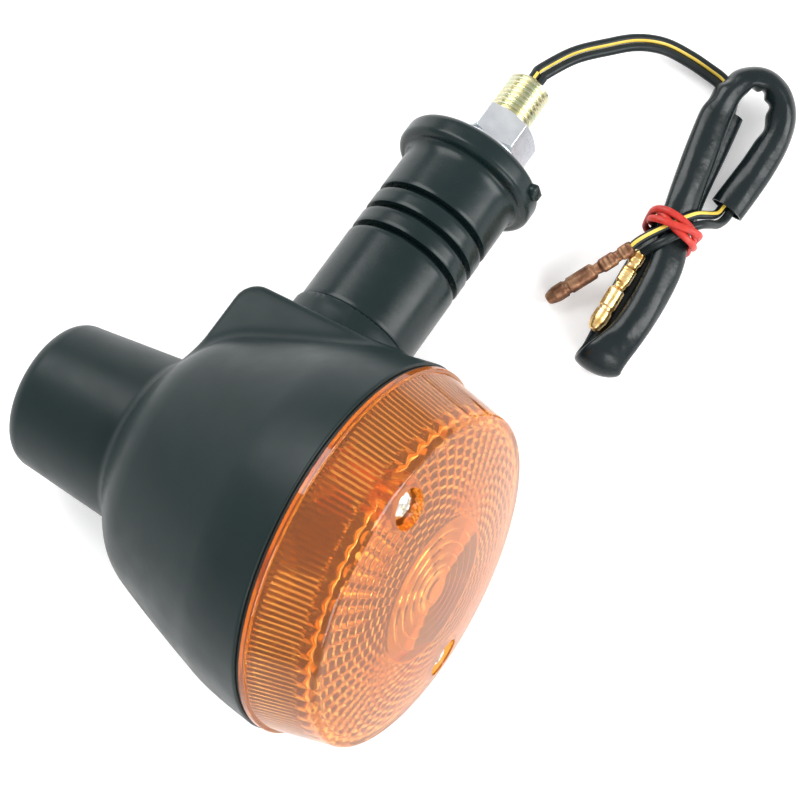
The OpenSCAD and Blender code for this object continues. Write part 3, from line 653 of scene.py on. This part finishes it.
def reach_along(directions, distance, low, high):
    """How far each ray from the lamp's centre goes before it leaves a shape, by halving."""
    near = np.full(directions.shape[:-1], float(low))
    far = np.full(directions.shape[:-1], float(high))
    for _ in range(26):
        middle = (near + far) / 2
        outside = distance(middle[..., None] * directions) > 0
        far = np.where(outside, middle, far)
        near = np.where(outside, near, middle)
    return ((near + far) / 2)[..., None] * directions


def ray_grid(outline, columns, distance, low=8, high=75):
    """A grid on the surface distance() = 0, with rays aimed at an outline's points."""
    angle = np.arange(columns) * 2 * np.pi / columns
    aim = np.stack([np.repeat(outline[:, :1], columns, 1), outline[:, 1:] * np.cos(angle),
                    outline[:, 1:] * np.sin(angle)], -1)
    aim = aim / np.linalg.norm(aim, axis=-1, keepdims=True)
    return reach_along(aim, distance, low, high)


HOUSING_COLUMNS = 480


def housing_outer(p):
    tube_arc = arc([-TUBE_END + TUBE_EDGE, TUBE_R - TUBE_EDGE], TUBE_EDGE, 180, 90, 24)
    forward = [[1e-6 * k, 0] for k in range(len(tube_arc))]  # keeps x rising, for np.interp
    outline = np.vstack([tube_arc + forward, shoulder_and_flare(), [[60, 45]]])
    x, y, z = p[..., 0], p[..., 1], p[..., 2]
    bowl = np.maximum(bowl_distance(outline, x, np.hypot(y, z)), -TUBE_END - x)
    block = box_distance(x, y, z, 0, 19, 1.1, 5)
    round_collar = np.hypot(x, z) - COLLAR_R
    top = y - SEAM_Y
    edge = 0.35
    collar = (np.minimum(np.maximum(round_collar + edge, top + edge), 0)
              + np.hypot(np.maximum(round_collar + edge, 0), np.maximum(top + edge, 0)) - edge)
    collar = np.maximum(collar, -y)
    shell = blend_in(bowl, block, 3.2)
    return blend_in(shell, collar, 0.7)


def inside_outline():
    """The bowl's inner outline, which follows the outer one."""
    inner = shoulder_and_flare()
    inner = inner[(inner[:, 0] > -20.9) & (inner[:, 0] < 26)] + [0.9, 0.1 - WALL]
    return np.vstack([[[-20, 9.3], [-20, 17.4]], inner, [[RIM_X, RIM_BORE_R]]])


def housing_inner(p):
    outline = inside_outline()
    outline = np.vstack([outline[1:], [[60, 42]]])
    x, y, z = p[..., 0], p[..., 1], p[..., 2]
    bowl = np.maximum(bowl_distance(outline, x, np.hypot(y, z)), BULKHEAD_FRONT - x)
    block = box_distance(x, y, z, WALL + 0.1, 13, 0.8, 3)
    return blend_in(bowl, block, 0.8)


def make_housing(material):
    columns = HOUSING_COLUMNS
    tube_arc = arc([-TUBE_END + TUBE_EDGE, TUBE_R - TUBE_EDGE], TUBE_EDGE, 180, 90, 12)
    aims = np.vstack([[[-TUBE_END, 0]], tube_arc, shoulder_and_flare()])
    outer = ray_grid(evenly(aims, 0.42), columns, housing_outer)
    rim = turned(np.vstack([
        arc([RIM_X - RIM_EDGE, RIM_R - RIM_EDGE], RIM_EDGE, 90, 0, 5),
        [[RIM_X, RIM_BORE_R + 0.2], [RIM_X - 0.1, RIM_BORE_R]]]), columns)
    inner = ray_grid(evenly(inside_outline(), 0.9), columns, housing_inner, 5)[::-1]
    tube_bore = TUBE_R - WALL
    behind = turned([[BULKHEAD_FRONT, SOCKET_R], [BULKHEAD_BACK, SOCKET_R],
                     [BULKHEAD_BACK, tube_bore], [-36, tube_bore], [-TUBE_END + WALL, tube_bore],
                     [-TUBE_END + WALL, 0]], columns)
    shape = Shape().sheet(np.concatenate([outer, rim, inner, behind]))
    for side in (-1, 1):
        boss = turned([[6, 0], [6, 4.1], [6.3, 4.3], [28.8, 4.3], [28.8, 3.02], [19.8, 3.02],
                       [19.8, 0]], 64, at=screw_place(side))
        shape.sheet(boss)
    return shape.piece("housing", material, "lamp", ["housing"], "housing_plastic", sharp=40)


def screw_place(side):
    """Where a lens screw's axis runs; side is 1 for the top screw and -1 for the bottom one."""
    a = math.radians(SCREW_CLOCK)
    return [0, side * SCREW_AT * math.sin(a), side * SCREW_AT * math.cos(a)]


# ---- Lens ----
SPOKES = 60
RIBS = 180
LENS_COLUMNS = 1080
PRISM_LONG = 2.15
FRESNEL_R = 16.2
FRESNEL_PITCH = 2.7


def face_x(r, inset=0.0):
    """The domed face's x at radius r."""
    reach = FACE_R - FACE_EDGE
    dome_r = (reach**2 + DOME**2) / (2 * DOME)
    return FACE_X + DOME - inset - (dome_r - np.sqrt(dome_r**2 - r * r))


def lens_outer():
    reach = FACE_R - FACE_EDGE
    edge = arc([FACE_X - FACE_EDGE, reach], FACE_EDGE, 84, 14, 8)
    radii = np.linspace(reach, 0, 60)
    return np.vstack([
        [[LENS_BACK, 38.2], [LENS_BACK, LENS_FLANGE_R - 0.15], [LENS_BACK + 0.15, LENS_FLANGE_R],
         [LENS_BACK + 1.25, LENS_FLANGE_R], [LENS_BACK + 1.4, LENS_FLANGE_R - 0.15],
         [LENS_BACK + 1.5, LENS_FLANGE_R - 0.7], [LENS_BACK + 1.9, LENS_FLANGE_R - 0.85]],
        edge, np.stack([face_x(radii), radii], -1)])


def triangle(t):
    """A wave between 0 and 1 with straight sides and a period of 1."""
    return np.abs(2 * (t - np.floor(t)) - 1)


def lens_inner():
    """The ribbed and faceted inner surface, from the centre of the face out to the rim."""
    angle = np.arange(LENS_COLUMNS) * 2 * np.pi / LENS_COLUMNS
    spoke = angle / (2 * np.pi) * SPOKES
    radii = np.concatenate([np.linspace(0, FRESNEL_R, 50), np.linspace(FRESNEL_R + 0.05, 34.2, 84)])
    r = radii[:, None]
    ring = (FRESNEL_R - r) / FRESNEL_PITCH
    fresnel = 0.75 * (ring - np.floor(ring)) * (r < FRESNEL_R) * smoothstep(1.5, 4, r)
    row = (r - FRESNEL_R) / PRISM_LONG + 0.5 * (np.floor(spoke) % 2)[None, :]
    flute = 0.55 * (1 - (2 * (spoke - np.floor(spoke)) - 1)[None, :] ** 2)
    prism = 0.75 * triangle(row) + flute * smoothstep(FRESNEL_R, 30, r)
    relief = np.where(r < FRESNEL_R, fresnel, prism * smoothstep(FRESNEL_R, FRESNEL_R + 1, r))
    x = face_x(r, LENS_WALL + 0.2) + 0.55 - relief
    face = np.stack([np.broadcast_to(x, relief.shape), r * np.cos(angle), r * np.sin(angle)], -1)
    wall = lens_inner_wall(angle, spoke)
    return np.concatenate([face, wall])


def lens_inner_wall(angle, spoke):
    """The inner corner, scalloped where each spoke meets the wall, and the ribbed wall."""
    scallop = 1 - np.abs(2 * (spoke - np.floor(spoke)) - 1) ** 1.5
    rib = 0.42 * triangle(angle / (2 * np.pi) * RIBS)
    rows = []
    for t in np.linspace(0, 1, 7):
        a = t * np.pi / 2
        radius = 34.4 + (0.9 + 0.75 * scallop) * np.sin(a)
        x = 43.5 - 2.2 * (1 - np.cos(a)) - 0.3 * scallop * np.cos(a)
        rows.append(np.stack([x, radius * np.cos(angle), radius * np.sin(angle)], -1))
    for t in np.linspace(0, 1, 14):
        x = 41.0 + (30.6 - 41.0) * t
        base = 35.5 + (38.6 - 35.5) * t
        deep = smoothstep(0, 0.08, t) * (1 - smoothstep(0.93, 1, t))
        radius = base - deep * rib + (1 - smoothstep(0, 0.12, t)) * 0.55 * scallop
        rows.append(np.stack([np.full(len(angle), x), radius * np.cos(angle),
                              radius * np.sin(angle)], -1))
    rows.append(np.stack([np.full(len(angle), LENS_BACK), 38.2 * np.cos(angle),
                          38.2 * np.sin(angle)], -1))
    return np.array(rows)


def combine(target, tool, operation):
    """Adds or cuts one mesh with another, then drops the tool."""
    step = target.modifiers.new("combine", "BOOLEAN")
    step.operation = operation
    step.object = tool
    step.solver = "EXACT"
    made = bpy.data.meshes.new_from_object(target.evaluated_get(
        bpy.context.evaluated_depsgraph_get()))
    target.modifiers.clear()
    old, target.data = target.data, made
    bpy.data.meshes.remove(old)
    bpy.data.objects.remove(tool)


def make_lens(material):
    outer = turned(lens_outer(), LENS_COLUMNS)
    shape = Shape().sheet(np.concatenate([outer, lens_inner()]))
    lens = shape.piece("lens", material)
    posts, wells = Shape(), Shape()
    for side in (-1, 1):
        place = screw_place(side)
        posts.sheet(turned([[LENS_BACK + 0.02, 0], [LENS_BACK + 0.02, 3.9], [40, 4.1], [41.6, 5.7],
                            [FACE_X - 0.4, 5.7], [FACE_X - 0.4, 0]], 96, at=place))
        wells.sheet(turned([[LENS_BACK - 1, 0], [LENS_BACK - 1, 2.2], [WELL_FLOOR, 2.2],
                            [WELL_FLOOR, WELL_R - 0.5], [WELL_FLOOR + 0.15, WELL_R - 0.15],
                            [WELL_FLOOR + 0.5, WELL_R], [FACE_X + 9, WELL_R + 0.25],
                            [FACE_X + 9, 0]], 96, at=place))
    combine(lens, posts.piece("posts", material), "UNION")
    combine(lens, wells.piece("wells", material), "DIFFERENCE")
    lens.data.shade_smooth()
    lens.data.set_sharp_from_angle(angle=math.radians(24))
    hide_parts("lens")
    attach(lens, "lens")


def thread(crest_r, depth, pitch, start, end, step, columns=96):
    """Rows of a threaded rod about y or x: radius at each height and angle."""
    at = np.arange(start, end, step)[:, None]
    angle = np.arange(columns)[None, :] / columns
    wave = triangle(at / pitch - angle)
    runout = smoothstep(0, 0.8 * pitch, at - start) * (1 - smoothstep(-0.5 * pitch, 0, at - end))
    cut = np.clip(wave * 1.45 - 0.25, 0, 1)
    return at[:, 0], crest_r - depth * cut * runout


def threaded_grid(outline_before, body, outline_after, columns, axis, place=(0, 0, 0)):
    """A turned shape with a threaded stretch between two plain outlines."""
    heights, radii = body
    plain = [turned(outline, columns, axis, place) for outline in (outline_before, outline_after)]
    angle = np.arange(columns) * 2 * np.pi / columns
    along = np.repeat(heights[:, None], columns, 1)
    u, v = radii * np.cos(angle), radii * np.sin(angle)
    middle = np.stack([along, u, v] if axis == "x" else [u, along, -v], -1) + np.array(place)
    return np.concatenate([plain[0], middle, plain[1]])


def make_screw(side, name, body, material):
    """A lens screw: threaded shank and a domed head with a cross recess."""
    columns, place = 96, screw_place(side)
    head_r, head_t = 3.5, 2.3
    shank = thread(SCREW_R, 0.28, 0.7, 20.6, 29.4, 0.07, columns)
    under = [[29.6, SCREW_R], [WELL_FLOOR + 0.02, SCREW_R], [WELL_FLOOR + 0.02, head_r - 0.1],
             [WELL_FLOOR + 0.12, head_r]]
    before = [[20.2, 0], [20.2, SCREW_R - 0.4], [20.6, SCREW_R]]
    grid = threaded_grid(before, shank, under, columns, "x", place)
    angle = np.arange(columns) * 2 * np.pi / columns
    r = np.concatenate([[1], np.sin(np.linspace(math.pi / 2, 0, 46)) ** 0.9])[:, None] * head_r
    crown = WELL_FLOOR + head_t - 1.35 * (r / head_r) ** 3.2
    u, v = r * np.cos(angle - 0.5), r * np.sin(angle - 0.5)
    thin, far = np.minimum(abs(u), abs(v)), np.maximum(abs(u), abs(v))
    recess = 1.25 * smoothstep(0.62, 0.36, thin) * smoothstep(2.15, 1.2, far)
    top = np.stack([crown - recess, r * np.cos(angle), r * np.sin(angle)], -1) + np.array(place)
    shape = Shape().sheet(np.concatenate([grid, top]))
    shape.piece(name, material, body, [name], "screw_steel", sharp=38)


# ---- Stem ----
def stem_outline():
    groove_round = 0.25
    rows = [[SEAM_Y, STEM_R - 0.45], [SEAM_Y + 0.2, STEM_R - 0.12], [SEAM_Y + 0.5, STEM_R]]
    for y in GROOVES:
        half, floor = GROOVE_W / 2, STEM_R - GROOVE_D
        rows += [[y - half - groove_round, STEM_R], [y - half - 0.06, STEM_R - 0.08],
                 [y - half, STEM_R - groove_round], [y - half, floor + 0.3],
                 [y - half + 0.3, floor], [y + half - 0.3, floor], [y + half, floor + 0.3],
                 [y + half, STEM_R - groove_round], [y + half + 0.06, STEM_R - 0.08],
                 [y + half + groove_round, STEM_R]]
    back = FLANGE_Y - FLANGE_T
    return np.vstack([
        rows, bezier([back - 2.6, STEM_R], [back - 1, STEM_R + 0.05], [back - 0.1, STEM_R + 0.4],
                     [back, STEM_R + 1.2], 10),
        arc([back + 1.6, FLANGE_R - 1.6], 1.6, 180, 90, 12),
        arc([FLANGE_Y - 2, FLANGE_R - 2], 2, 90, 0, 14)])


# The dent's place along the stem, the side it faces in degrees, and its depth
FLANGE_DENT = (89.2, 70, 0.35)


def dented(along, radius, angle):
    """A small crescent dent in the flange's edge."""
    y, facing, depth = FLANGE_DENT
    off = (np.degrees(angle) + facing + 180) % 360 - 180
    crescent = np.exp(-((along - y - 0.0036 * off**2) / 0.45) ** 2 - (off / 9) ** 2)
    return radius - depth * crescent * (radius > STEM_R + 1)


def make_stem_rubber(material):
    columns = 288
    outer = turned(densified(stem_outline(), 0.9), columns, "y", swell=dented)
    pocket = turned([
        [FLANGE_Y, STUD_R + 0.02], [88, STUD_R + 0.02], [88, 11.02], [85, 11.02], [85, 6.02],
        [81, 6.02], [81, 3.4], [70, 3.4], [62, 3.4], [56, 3.4], [56, 6.02], [50.5, 6.02],
        [50.5, 10.52], [48, 10.52], [48, 6.02], [SEAM_Y, 6.02], [SEAM_Y, STEM_R - 0.45]],
        columns, "y")
    shape = Shape().sheet(np.concatenate([outer, pocket]))
    shape.sheet(pip_grid())
    rubber = shape.piece("stem_rubber", material, None, ["stem_rubber"], "stem_rubber", sharp=40)
    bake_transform(rubber)


def densified(outline, longest):
    """The same outline with its long stretches divided."""
    rows = [outline[0]]
    for a, b in zip(outline[:-1], outline[1:]):
        parts = max(1, int(math.ceil(np.linalg.norm(b - a) / longest)))
        rows += [a + (b - a) * k / parts for k in range(1, parts + 1)]
    return np.array(rows)


def pip_grid():
    """The locating pip on the flange's edge: a small block with soft, uneven edges."""
    turn = math.radians(8)
    rows = []
    for x, grow in [(14.4, 1), (16.6, 1), (17.4, 0.98), (17.75, 0.88), (17.9, 0.7), (17.9, 0)]:
        a = np.arange(40) * 2 * np.pi / 40
        ragged = 1 + 0.05 * np.sin(3 * a + x) + 0.04 * np.sin(5 * a)
        y = 90.6 + 1.35 * grow * np.sign(np.cos(a)) * abs(np.cos(a)) ** 0.45 * ragged
        z = 2.0 * grow * np.sign(np.sin(a)) * abs(np.sin(a)) ** 0.45 * ragged
        rows.append(np.stack([x * math.cos(turn) - z * math.sin(turn), y,
                              x * math.sin(turn) + z * math.cos(turn)], -1))
    return np.array(rows)


def make_stem_leads(material):
    _, across = pair_line()
    w = np.array([across[0] @ LAMP_AXIS, 0, across[0] @ ACROSS_AXIS])
    shape = Shape()
    path = np.stack([np.zeros(31), np.linspace(56, STUD_END, 31), np.zeros(31)], -1)
    t = headings(path)
    for side in (-1, 1):
        grid = rings(path + side * PAIR * w, t, np.broadcast_to(w, path.shape), WIRE_R, WIRE_R, 14)
        shape.sheet(np.concatenate([closed_end(grid, 0), grid, closed_end(grid, -1)]))
    leads = shape.piece("stem_leads", material, None, ["stem_leads"], "wire_black")
    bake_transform(leads)


def make_stud(material):
    columns = 120
    chamfer = 0.8
    body = thread(STUD_R, 0.66, THREAD_PITCH, 90, STUD_END - chamfer, 0.08, columns)
    before = [[81, STUD_BORE_R], [81, 6], [85, 6], [85, 11], [88, 11], [88, STUD_R], [89.9, STUD_R]]
    after = [[STUD_END - chamfer, STUD_R - 0.35], [STUD_END - 0.1, STUD_R - 0.95],
             [STUD_END, STUD_R - 1.1], [STUD_END, STUD_BORE_R + 0.15],
             [STUD_END - 0.15, STUD_BORE_R], [81, STUD_BORE_R]]
    grid = threaded_grid(before, body, after, columns, "y")
    Shape().sheet(grid).piece("mount_stud", material, "stem_mount", ["mount_stud"], "yellow_zinc",
                              sharp=60)


def hex_radius(angle, along):
    """Radius of a chamfered hexagon nut: flats, cut by a cone at each end."""
    flat = NUT_R * math.cos(math.pi / 6)
    sector = (np.degrees(angle) - NUT_TURN) % 60 - 30
    hexagon = flat / np.cos(np.radians(sector))
    end = np.minimum(along - NUT_Y, NUT_Y + NUT_T - along)
    cone = flat - 0.35 + end * 1.8
    soft = NUT_R - 0.08
    return np.minimum(np.minimum(hexagon, cone), soft)


def make_nut(material):
    columns = 360
    low, high = NUT_Y + 0.02, NUT_Y + NUT_T - 0.02
    ends = np.concatenate([np.linspace(0, 0.75, 14), np.linspace(0.85, 1.4, 4)])
    heights = np.concatenate([low + ends, [NUT_Y + NUT_T / 2], (high - ends)[::-1]])
    side = turned(np.stack([heights, heights], -1), columns, "y",
                  swell=lambda along, radius, angle: hex_radius(angle, along))
    top = turned([[high, 7.3], [high, STUD_R + 0.75], [high - 0.55, STUD_R + 0.04],
                  [low + 0.55, STUD_R + 0.04], [low, STUD_R + 0.75], [low, 7.3]], columns, "y")
    shape = Shape().sheet(np.concatenate([side, top, side[:1]]))
    shape.piece("stud_nut", material, "nut", ["stud_nut"], "bright_zinc", sharp=22)


def make_plain_washer(material):
    low, high, inner, outer, edge = FLANGE_Y + 0.01, 93.98, STUD_R + 0.25, 10, 0.3
    outline = np.vstack([
        [[low, inner]], arc([low + edge, outer - edge], edge, 180, 90, 5),
        arc([high - edge, outer - edge], edge, 90, 0, 5), [[high, inner], [low, inner]]])
    shape = Shape().sheet(turned(outline, 144, "y"))
    shape.piece("plain_washer", material, "washers", ["plain_washer"], "bright_zinc")


def make_gasket(material):
    low, high, edge = RIM_X + 0.02, LENS_BACK - 0.02, 0.25
    outline = np.vstack([
        [[low, 38.6]], arc([low + edge, 40.85 - edge], edge, 180, 90, 4),
        arc([high - edge, 40.85 - edge], edge, 90, 0, 4), [[high, 38.6], [low, 38.6]]])
    shape = Shape().sheet(turned(outline, 240))
    shape.piece("lens_gasket", material, "lens", ["lens_gasket"], "gasket_rubber")


def make_reflector(material):
    """The plated dish with its rolled edge and the neck that sits on the socket."""
    focus, hole, reach, thick = 14, 10.1, 26, 0.7
    radii = np.linspace(hole, reach, 40)
    front = np.stack([-13 + 0.9 + radii**2 / (4 * focus), radii], -1)
    back = front - [thick, 0]
    lip = front[-1] + [[0.25, 0.1], [0.3, 0.5], [0, 0.7], [-0.5, 0.5], [-thick, 0.1]]
    neck_front = front[0][0]
    neck = [[neck_front - 1, hole - 0.5], [-18, hole - 0.5], [-18, hole + 0.3],
            [neck_front - 1.2, hole + 0.3]]
    ring = np.vstack([front, lip, back[::-1], neck[::-1], front[:1]])
    shape = Shape().sheet(turned(ring, 160))
    shape.piece("reflector", material, "lamp", ["reflector"], "reflector_chrome", sharp=50)


def make_spring(material):
    """The coil behind the contact plate, one end at the socket and the other at the bulb."""
    back, front, radius, wire = -38.25, -32.05, 5.4, 0.45
    turn = np.linspace(0, 10 * np.pi, 181)
    path = np.stack([np.linspace(back, front, len(turn)), radius * np.cos(turn),
                     radius * np.sin(turn)], -1)
    t = headings(path)
    along = np.broadcast_to([1.0, 0, 0], path.shape)
    w = np.cross(t, np.cross(along, t))
    w = w / np.linalg.norm(w, axis=1)[:, None]
    grid = rings(path, t, w, wire, wire, 12)
    shape = Shape().sheet(np.concatenate([closed_end(grid, 0), grid, closed_end(grid, -1)]))
    spring = shape.piece("contact_spring", material, None, ["contact_spring"], "plain_steel")
    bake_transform(spring)


# ---- Pieces that keep their CAD shape ----
def paint_cad_nodes(finishes, clear, glass):
    wanted = {
        "screw_insert_top": "brass", "screw_insert_bottom": "brass", "bulb_socket": "bright_zinc",
        "terminal_board": "board", "live_terminal": "brass", "contact_plate": "board",
        "bulb_base": "brass", "bulb_tip": "plain_steel", "filament_posts": "filament",
        "filament": "filament", "stem_ferrule": "plain_steel",
        "stem_lock_washer": "plain_steel", "stem_nut": "plain_steel",
        "spring_washer": "bright_zinc", "live_lead": "wire_black", "earth_lead": "wire_black"}
    chosen = {node: finishes[name] for node, name in wanted.items()}
    chosen["bulb_glass"] = clear
    chosen["glass_stem"] = glass
    for node, material in chosen.items():
        for place in frame["nodes"][node].material_slots:
            place.material = material


# ---- Floor and light ----
def make_floor():
    made, tree, shader = blank("floor")
    tree.links.new(ramp(tree, noise(tree, 3, 2), tones((0.86, 0.86, 0.86), (0.88, 0.88, 0.88))),
                   shader.inputs["Base Color"])
    shader.inputs["Roughness"].default_value = 0.9
    shader.inputs["Specular IOR Level"].default_value = 0.1
    shader.inputs["Emission Color"].default_value = (1, 1, 1, 1)
    shader.inputs["Emission Strength"].default_value = 0.3
    size = 4
    mesh = bpy.data.meshes.new("floor")
    mesh.from_pydata([(-size, -size, 0), (size, -size, 0), (size, size, 0), (-size, size, 0)], [],
                     [(0, 1, 2, 3)])
    mesh.materials.append(made)
    floor = bpy.data.objects.new("floor", mesh)
    bpy.context.scene.collection.objects.link(floor)


def area_light(name, place, size, power, aim=(0, 0, 0.03)):
    data = bpy.data.lights.new(name, "AREA")
    data.shape = "RECTANGLE"
    data.size, data.size_y = size
    data.energy = power
    light = bpy.data.objects.new(name, data)
    bpy.context.scene.collection.objects.link(light)
    light.location = place
    away = np.array(place) - np.array(aim)
    away = away / np.linalg.norm(away)
    right = np.cross([0, 0, 1], away)
    right = right / np.linalg.norm(right)
    up = np.cross(away, right)
    light.matrix_world = Matrix([[right[k], up[k], away[k], place[k]] for k in range(3)]
                                + [[0, 0, 0, 1]])


def make_lights():
    world = bpy.data.worlds.new("studio")
    world.use_nodes = True
    world.node_tree.nodes["Background"].inputs["Color"].default_value = (1, 1, 1, 1)
    world.node_tree.nodes["Background"].inputs["Strength"].default_value = 0.8
    bpy.context.scene.world = world
    area_light("left_softbox", (-0.75, 0.25, 0.75), (0.5, 0.9), 9)
    area_light("right_softbox", (0.85, 0.35, 0.6), (0.4, 0.8), 9)
    area_light("top_softbox", (0.0, 0.0, 1.3), (0.7, 0.7), 8)
    area_light("lens_softbox", (0.75, -0.55, 0.55), (0.5, 0.5), 5)
    bpy.context.scene.view_settings.view_transform = "Standard"


make_camera()
finishes = make_finishes()
make_cords(finishes)
make_housing(finishes["housing"])
make_lens(amber_lens())
make_gasket(finishes["gasket"])
make_screw(1, "lens_screw_top", "top_screw", finishes["screw_steel"])
make_screw(-1, "lens_screw_bottom", "bottom_screw", finishes["screw_steel"])
make_reflector(finishes["chrome"])
make_spring(finishes["plain_steel"])
make_stem_rubber(finishes["rubber"])
make_stem_leads(finishes["wire_black"])
make_stud(finishes["yellow_zinc"])
make_nut(finishes["bright_zinc"])
make_plain_washer(finishes["plain_washer"])
paint_cad_nodes(finishes, glassy("bulb_clear", (0.98, 0.99, 1.0), (0.0, 0.03), 1.45, [(90, 2, 0.03)]),
                glassy("glass_stem", (0.95, 0.97, 1.0), (0.02, 0.08), 1.45, [(200, 2, 0.05)]))
make_floor()
make_lights()
